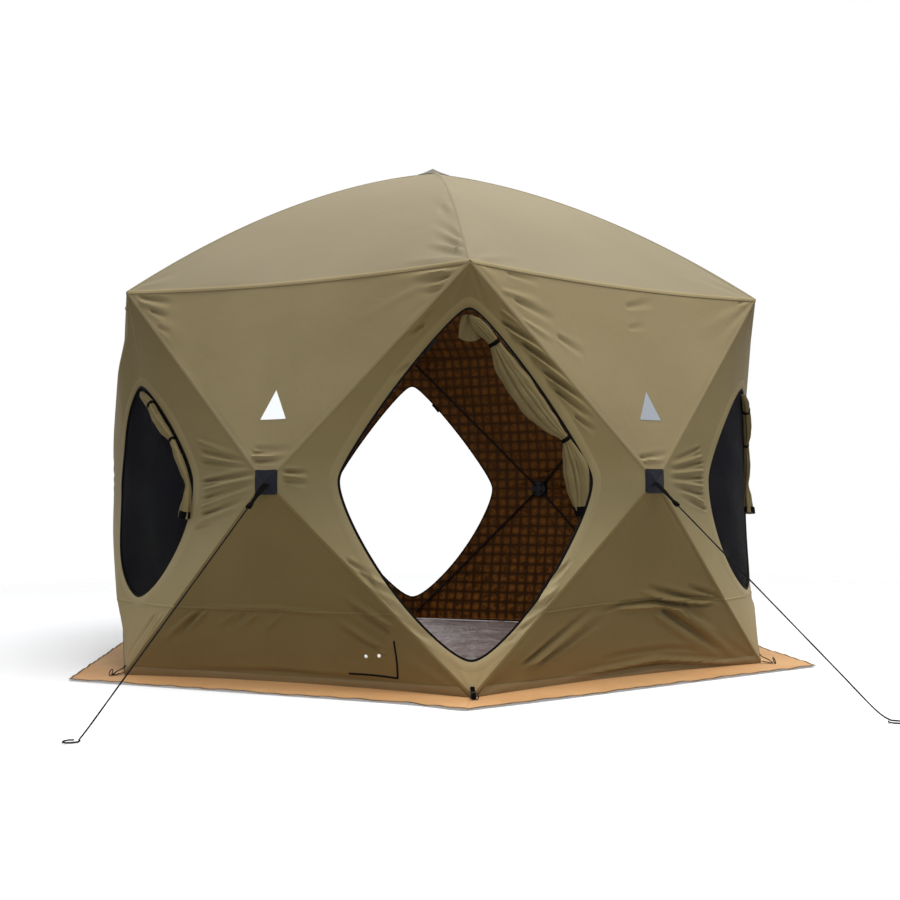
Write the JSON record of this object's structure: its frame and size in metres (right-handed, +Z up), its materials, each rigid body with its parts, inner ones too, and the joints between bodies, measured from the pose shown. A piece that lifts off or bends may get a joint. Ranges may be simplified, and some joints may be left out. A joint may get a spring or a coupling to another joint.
{
  "type": "hub tent",
  "caption": "Six-sided pop-up hub tent with bowed roof, diamond doors front and back, corner windows, hub-and-rod walls, ground skirt and guy ropes.",
  "frame": {"origin": "on the ground, straight under the roof hub", "axes": "+Z up; -Y points out through the front door's corner; +X to the right seen from the front"},
  "size_m": [2.999, 3.8785, 2.2374],
  "materials": {
    "roof_fabric": "coated khaki cloth, sun-bleached",
    "wall_fabric": "coated khaki cloth over a quilted brown lining",
    "window_net": "black insect mesh",
    "skirt_fabric": "orange-tan coated cloth",
    "floor_sheet": "wrinkled sheet",
    "guy_cord": "black braided cord",
    "hub_plastic": "moulded black",
    "rod_fibre": "black glass fibre",
    "zip_metal": "dull zinc"
  },
  "bodies": {
    "root": {"roof_cover": "roof_fabric", "wall_panel_front_right": "wall_fabric", "wall_panel_right": "wall_fabric", "wall_panel_back_right": "wall_fabric", "wall_panel_back_left": "wall_fabric", "wall_panel_left": "wall_fabric", "wall_panel_front_left": "wall_fabric", "door_panel_front": "wall_fabric", "window_panel_right_front": "wall_fabric", "window_mesh_right_front": "window_net", "window_panel_right_back": "wall_fabric", "window_mesh_right_back": "window_net", "door_panel_back": "wall_fabric", "window_panel_left_back": "wall_fabric", "window_mesh_left_back": "window_net", "window_panel_left_front": "wall_fabric", "window_mesh_left_front": "window_net", "ground_skirt": "skirt_fabric", "floor_mat": "floor_sheet", "guy_rope_front_left": "guy_cord", "guy_rope_front_right": "guy_cord"},
    "wall_hub_front_right": {"hub_front_right": "hub_plastic"},
    "wall_hub_right": {"hub_right": "hub_plastic"},
    "wall_hub_back_right": {"hub_back_right": "hub_plastic"},
    "wall_hub_back_left": {"hub_back_left": "hub_plastic"},
    "wall_hub_left": {"hub_left": "hub_plastic"},
    "wall_hub_front_left": {"hub_front_left": "hub_plastic"},
    "rod_front_right_upper_right": {"rod_front_right_upper_right": "rod_fibre"},
    "rod_front_right_upper_left": {"rod_front_right_upper_left": "rod_fibre"},
    "rod_front_right_lower_right": {"rod_front_right_lower_right": "rod_fibre"},
    "rod_front_right_lower_left": {"rod_front_right_lower_left": "rod_fibre"},
    "rod_right_upper_right": {"rod_right_upper_right": "rod_fibre"},
    "rod_right_upper_left": {"rod_right_upper_left": "rod_fibre"},
    "rod_right_lower_right": {"rod_right_lower_right": "rod_fibre"},
    "rod_right_lower_left": {"rod_right_lower_left": "rod_fibre"},
    "rod_back_right_upper_right": {"rod_back_right_upper_right": "rod_fibre"},
    "rod_back_right_upper_left": {"rod_back_right_upper_left": "rod_fibre"},
    "rod_back_right_lower_right": {"rod_back_right_lower_right": "rod_fibre"},
    "rod_back_right_lower_left": {"rod_back_right_lower_left": "rod_fibre"},
    "rod_back_left_upper_right": {"rod_back_left_upper_right": "rod_fibre"},
    "rod_back_left_upper_left": {"rod_back_left_upper_left": "rod_fibre"},
    "rod_back_left_lower_right": {"rod_back_left_lower_right": "rod_fibre"},
    "rod_back_left_lower_left": {"rod_back_left_lower_left": "rod_fibre"},
    "rod_left_upper_right": {"rod_left_upper_right": "rod_fibre"},
    "rod_left_upper_left": {"rod_left_upper_left": "rod_fibre"},
    "rod_left_lower_right": {"rod_left_lower_right": "rod_fibre"},
    "rod_left_lower_left": {"rod_left_lower_left": "rod_fibre"},
    "rod_front_left_upper_right": {"rod_front_left_upper_right": "rod_fibre"},
    "rod_front_left_upper_left": {"rod_front_left_upper_left": "rod_fibre"},
    "rod_front_left_lower_right": {"rod_front_left_lower_right": "rod_fibre"},
    "rod_front_left_lower_left": {"rod_front_left_lower_left": "rod_fibre"},
    "roof_hub": {"roof_hub": "hub_plastic"},
    "roof_rod_front": {"roof_rod_front": "rod_fibre"},
    "roof_rod_right_front": {"roof_rod_right_front": "rod_fibre"},
    "roof_rod_right_back": {"roof_rod_right_back": "rod_fibre"},
    "roof_rod_back": {"roof_rod_back": "rod_fibre"},
    "roof_rod_left_back": {"roof_rod_left_back": "rod_fibre"},
    "roof_rod_left_front": {"roof_rod_left_front": "rod_fibre"},
    "zip_slider_front": {"zip_slider_front": "zip_metal"},
    "zip_slider_back": {"zip_slider_back": "zip_metal"}
  },
  "joints": [
    {"name": "pop_front_right", "type": "slide", "parent": "root", "child": "wall_hub_front_right", "axis": [0.5, -0.866, 0], "range_m": [-0.28148, 0]},
    {"name": "pop_right", "type": "slide", "parent": "root", "child": "wall_hub_right", "axis": [1, 0, 0], "range_m": [-0.28148, 0]},
    {"name": "pop_back_right", "type": "slide", "parent": "root", "child": "wall_hub_back_right", "axis": [0.5, 0.866, 0], "range_m": [-0.28148, 0]},
    {"name": "pop_back_left", "type": "slide", "parent": "root", "child": "wall_hub_back_left", "axis": [-0.5, 0.866, 0], "range_m": [-0.28148, 0]},
    {"name": "pop_left", "type": "slide", "parent": "root", "child": "wall_hub_left", "axis": [-1, 0, 0], "range_m": [-0.28148, 0]},
    {"name": "pop_front_left", "type": "slide", "parent": "root", "child": "wall_hub_front_left", "axis": [-0.5, -0.866, 0], "range_m": [-0.28148, 0]},
    {"name": "swing_front_right_upper_right", "type": "hinge", "parent": "wall_hub_front_right", "child": "rod_front_right_upper_right", "pos_m": [0.72806, -1.21931, 0.77656], "axis": [-0.6223, -0.3593, 0.6954], "range_deg": [-16.74, 0.5]},
    {"name": "swing_front_right_upper_left", "type": "hinge", "parent": "wall_hub_front_right", "child": "rod_front_right_upper_left", "pos_m": [0.69192, -1.24017, 0.77656], "axis": [-0.6223, -0.3593, -0.6954], "range_deg": [-16.74, 0.5]},
    {"name": "swing_front_right_lower_right", "type": "hinge", "parent": "wall_hub_front_right", "child": "rod_front_right_lower_right", "pos_m": [0.72834, -1.21914, 0.73376], "axis": [0.6131, 0.354, 0.7063], "range_deg": [-17.01, 0.5]},
    {"name": "swing_front_right_lower_left", "type": "hinge", "parent": "wall_hub_front_right", "child": "rod_front_right_lower_left", "pos_m": [0.69164, -1.24033, 0.73376], "axis": [0.6131, 0.354, -0.7063], "range_deg": [-17.01, 0.5]},
    {"name": "swing_right_upper_right", "type": "hinge", "parent": "wall_hub_right", "child": "rod_right_upper_right", "pos_m": [1.41998, 0.02086, 0.77656], "axis": [0, -0.7186, 0.6954], "range_deg": [-16.74, 0.5]},
    {"name": "swing_right_upper_left", "type": "hinge", "parent": "wall_hub_right", "child": "rod_right_upper_left", "pos_m": [1.41998, -0.02086, 0.77656], "axis": [0, -0.7186, -0.6954], "range_deg": [-16.74, 0.5]},
    {"name": "swing_right_lower_right", "type": "hinge", "parent": "wall_hub_right", "child": "rod_right_lower_right", "pos_m": [1.41998, 0.02119, 0.73376], "axis": [0, 0.7079, 0.7063], "range_deg": [-17.01, 0.5]},
    {"name": "swing_right_lower_left", "type": "hinge", "parent": "wall_hub_right", "child": "rod_right_lower_left", "pos_m": [1.41998, -0.02119, 0.73376], "axis": [0, 0.7079, -0.7063], "range_deg": [-17.01, 0.5]},
    {"name": "swing_back_right_upper_right", "type": "hinge", "parent": "wall_hub_back_right", "child": "rod_back_right_upper_right", "pos_m": [0.69192, 1.24017, 0.77656], "axis": [0.6223, -0.3593, 0.6954], "range_deg": [-16.74, 0.5]},
    {"name": "swing_back_right_upper_left", "type": "hinge", "parent": "wall_hub_back_right", "child": "rod_back_right_upper_left", "pos_m": [0.72806, 1.21931, 0.77656], "axis": [0.6223, -0.3593, -0.6954], "range_deg": [-16.74, 0.5]},
    {"name": "swing_back_right_lower_right", "type": "hinge", "parent": "wall_hub_back_right", "child": "rod_back_right_lower_right", "pos_m": [0.69164, 1.24033, 0.73376], "axis": [-0.6131, 0.354, 0.7063], "range_deg": [-17.01, 0.5]},
    {"name": "swing_back_right_lower_left", "type": "hinge", "parent": "wall_hub_back_right", "child": "rod_back_right_lower_left", "pos_m": [0.72834, 1.21914, 0.73376], "axis": [-0.6131, 0.354, -0.7063], "range_deg": [-17.01, 0.5]},
    {"name": "swing_back_left_upper_right", "type": "hinge", "parent": "wall_hub_back_left", "child": "rod_back_left_upper_right", "pos_m": [-0.72806, 1.21931, 0.77656], "axis": [0.6223, 0.3593, 0.6954], "range_deg": [-16.74, 0.5]},
    {"name": "swing_back_left_upper_left", "type": "hinge", "parent": "wall_hub_back_left", "child": "rod_back_left_upper_left", "pos_m": [-0.69192, 1.24017, 0.77656], "axis": [0.6223, 0.3593, -0.6954], "range_deg": [-16.74, 0.5]},
    {"name": "swing_back_left_lower_right", "type": "hinge", "parent": "wall_hub_back_left", "child": "rod_back_left_lower_right", "pos_m": [-0.72834, 1.21914, 0.73376], "axis": [-0.6131, -0.354, 0.7063], "range_deg": [-17.01, 0.5]},
    {"name": "swing_back_left_lower_left", "type": "hinge", "parent": "wall_hub_back_left", "child": "rod_back_left_lower_left", "pos_m": [-0.69164, 1.24033, 0.73376], "axis": [-0.6131, -0.354, -0.7063], "range_deg": [-17.01, 0.5]},
    {"name": "swing_left_upper_right", "type": "hinge", "parent": "wall_hub_left", "child": "rod_left_upper_right", "pos_m": [-1.41998, -0.02086, 0.77656], "axis": [0, 0.7186, 0.6954], "range_deg": [-16.74, 0.5]},
    {"name": "swing_left_upper_left", "type": "hinge", "parent": "wall_hub_left", "child": "rod_left_upper_left", "pos_m": [-1.41998, 0.02086, 0.77656], "axis": [0, 0.7186, -0.6954], "range_deg": [-16.74, 0.5]},
    {"name": "swing_left_lower_right", "type": "hinge", "parent": "wall_hub_left", "child": "rod_left_lower_right", "pos_m": [-1.41998, -0.02119, 0.73376], "axis": [0, -0.7079, 0.7063], "range_deg": [-17.01, 0.5]},
    {"name": "swing_left_lower_left", "type": "hinge", "parent": "wall_hub_left", "child": "rod_left_lower_left", "pos_m": [-1.41998, 0.02119, 0.73376], "axis": [0, -0.7079, -0.7063], "range_deg": [-17.01, 0.5]},
    {"name": "swing_front_left_upper_right", "type": "hinge", "parent": "wall_hub_front_left", "child": "rod_front_left_upper_right", "pos_m": [-0.69192, -1.24017, 0.77656], "axis": [-0.6223, 0.3593, 0.6954], "range_deg": [-16.74, 0.5]},
    {"name": "swing_front_left_upper_left", "type": "hinge", "parent": "wall_hub_front_left", "child": "rod_front_left_upper_left", "pos_m": [-0.72806, -1.21931, 0.77656], "axis": [-0.6223, 0.3593, -0.6954], "range_deg": [-16.74, 0.5]},
    {"name": "swing_front_left_lower_right", "type": "hinge", "parent": "wall_hub_front_left", "child": "rod_front_left_lower_right", "pos_m": [-0.69164, -1.24033, 0.73376], "axis": [0.6131, -0.354, 0.7063], "range_deg": [-17.01, 0.5]},
    {"name": "swing_front_left_lower_left", "type": "hinge", "parent": "wall_hub_front_left", "child": "rod_front_left_lower_left", "pos_m": [-0.72834, -1.21914, 0.73376], "axis": [0.6131, -0.354, -0.7063], "range_deg": [-17.01, 0.5]},
    {"name": "pop_roof", "type": "slide", "parent": "root", "child": "roof_hub", "axis": [0, 0, 1], "range_m": [-1.3794, 0]},
    {"name": "swing_roof_front", "type": "hinge", "parent": "roof_hub", "child": "roof_rod_front", "pos_m": [0, -0.043, 2.1997], "axis": [-1, 0, 0], "range_deg": [-52.89, 0.5], "deforming": ["roof_rod_front"]},
    {"name": "swing_roof_right_front", "type": "hinge", "parent": "roof_hub", "child": "roof_rod_right_front", "pos_m": [0.03724, -0.0215, 2.1997], "axis": [-0.5, -0.866, 0], "range_deg": [-52.89, 0.5], "deforming": ["roof_rod_right_front"]},
    {"name": "swing_roof_right_back", "type": "hinge", "parent": "roof_hub", "child": "roof_rod_right_back", "pos_m": [0.03724, 0.0215, 2.1997], "axis": [0.5, -0.866, 0], "range_deg": [-52.89, 0.5], "deforming": ["roof_rod_right_back"]},
    {"name": "swing_roof_back", "type": "hinge", "parent": "roof_hub", "child": "roof_rod_back", "pos_m": [0, 0.043, 2.1997], "axis": [1, 0, 0], "range_deg": [-52.89, 0.5], "deforming": ["roof_rod_back"]},
    {"name": "swing_roof_left_back", "type": "hinge", "parent": "roof_hub", "child": "roof_rod_left_back", "pos_m": [-0.03724, 0.0215, 2.1997], "axis": [0.5, 0.866, 0], "range_deg": [-52.89, 0.5], "deforming": ["roof_rod_left_back"]},
    {"name": "swing_roof_left_front", "type": "hinge", "parent": "roof_hub", "child": "roof_rod_left_front", "pos_m": [-0.03724, -0.0215, 2.1997], "axis": [-0.5, 0.866, 0], "range_deg": [-52.89, 0.5], "deforming": ["roof_rod_left_front"]},
    {"name": "zip_front", "type": "slide", "parent": "root", "child": "zip_slider_front", "axis": [-0.5967, 0.1613, -0.7861], "range_m": [0, 0.43707]},
    {"name": "zip_back", "type": "slide", "parent": "root", "child": "zip_slider_back", "axis": [0.5967, -0.1613, -0.7861], "range_m": [0, 0.43707]}
  ],
  "couplings": [
    {"joint": "swing_front_right_upper_right", "follows": "pop_front_right", "rad_per_m": 1.0069},
    {"joint": "swing_front_right_upper_left", "follows": "pop_front_right", "rad_per_m": 1.0069},
    {"joint": "swing_front_right_lower_right", "follows": "pop_front_right", "rad_per_m": 1.0239},
    {"joint": "swing_front_right_lower_left", "follows": "pop_front_right", "rad_per_m": 1.0239},
    {"joint": "swing_right_upper_right", "follows": "pop_right", "rad_per_m": 1.0069},
    {"joint": "swing_right_upper_left", "follows": "pop_right", "rad_per_m": 1.0069},
    {"joint": "swing_right_lower_right", "follows": "pop_right", "rad_per_m": 1.0239},
    {"joint": "swing_right_lower_left", "follows": "pop_right", "rad_per_m": 1.0239},
    {"joint": "swing_back_right_upper_right", "follows": "pop_back_right", "rad_per_m": 1.0069},
    {"joint": "swing_back_right_upper_left", "follows": "pop_back_right", "rad_per_m": 1.0069},
    {"joint": "swing_back_right_lower_right", "follows": "pop_back_right", "rad_per_m": 1.0239},
    {"joint": "swing_back_right_lower_left", "follows": "pop_back_right", "rad_per_m": 1.0239},
    {"joint": "swing_back_left_upper_right", "follows": "pop_back_left", "rad_per_m": 1.0069},
    {"joint": "swing_back_left_upper_left", "follows": "pop_back_left", "rad_per_m": 1.0069},
    {"joint": "swing_back_left_lower_right", "follows": "pop_back_left", "rad_per_m": 1.0239},
    {"joint": "swing_back_left_lower_left", "follows": "pop_back_left", "rad_per_m": 1.0239},
    {"joint": "swing_left_upper_right", "follows": "pop_left", "rad_per_m": 1.0069},
    {"joint": "swing_left_upper_left", "follows": "pop_left", "rad_per_m": 1.0069},
    {"joint": "swing_left_lower_right", "follows": "pop_left", "rad_per_m": 1.0239},
    {"joint": "swing_left_lower_left", "follows": "pop_left", "rad_per_m": 1.0239},
    {"joint": "swing_front_left_upper_right", "follows": "pop_front_left", "rad_per_m": 1.0069},
    {"joint": "swing_front_left_upper_left", "follows": "pop_front_left", "rad_per_m": 1.0069},
    {"joint": "swing_front_left_lower_right", "follows": "pop_front_left", "rad_per_m": 1.0239},
    {"joint": "swing_front_left_lower_left", "follows": "pop_front_left", "rad_per_m": 1.0239},
    {"joint": "swing_roof_front", "follows": "pop_roof", "rad_per_m": 0.66287},
    {"joint": "swing_roof_right_front", "follows": "pop_roof", "rad_per_m": 0.66287},
    {"joint": "swing_roof_right_back", "follows": "pop_roof", "rad_per_m": 0.66287},
    {"joint": "swing_roof_back", "follows": "pop_roof", "rad_per_m": 0.66287},
    {"joint": "swing_roof_left_back", "follows": "pop_roof", "rad_per_m": 0.66287},
    {"joint": "swing_roof_left_front", "follows": "pop_roof", "rad_per_m": 0.66287}
  ]
}
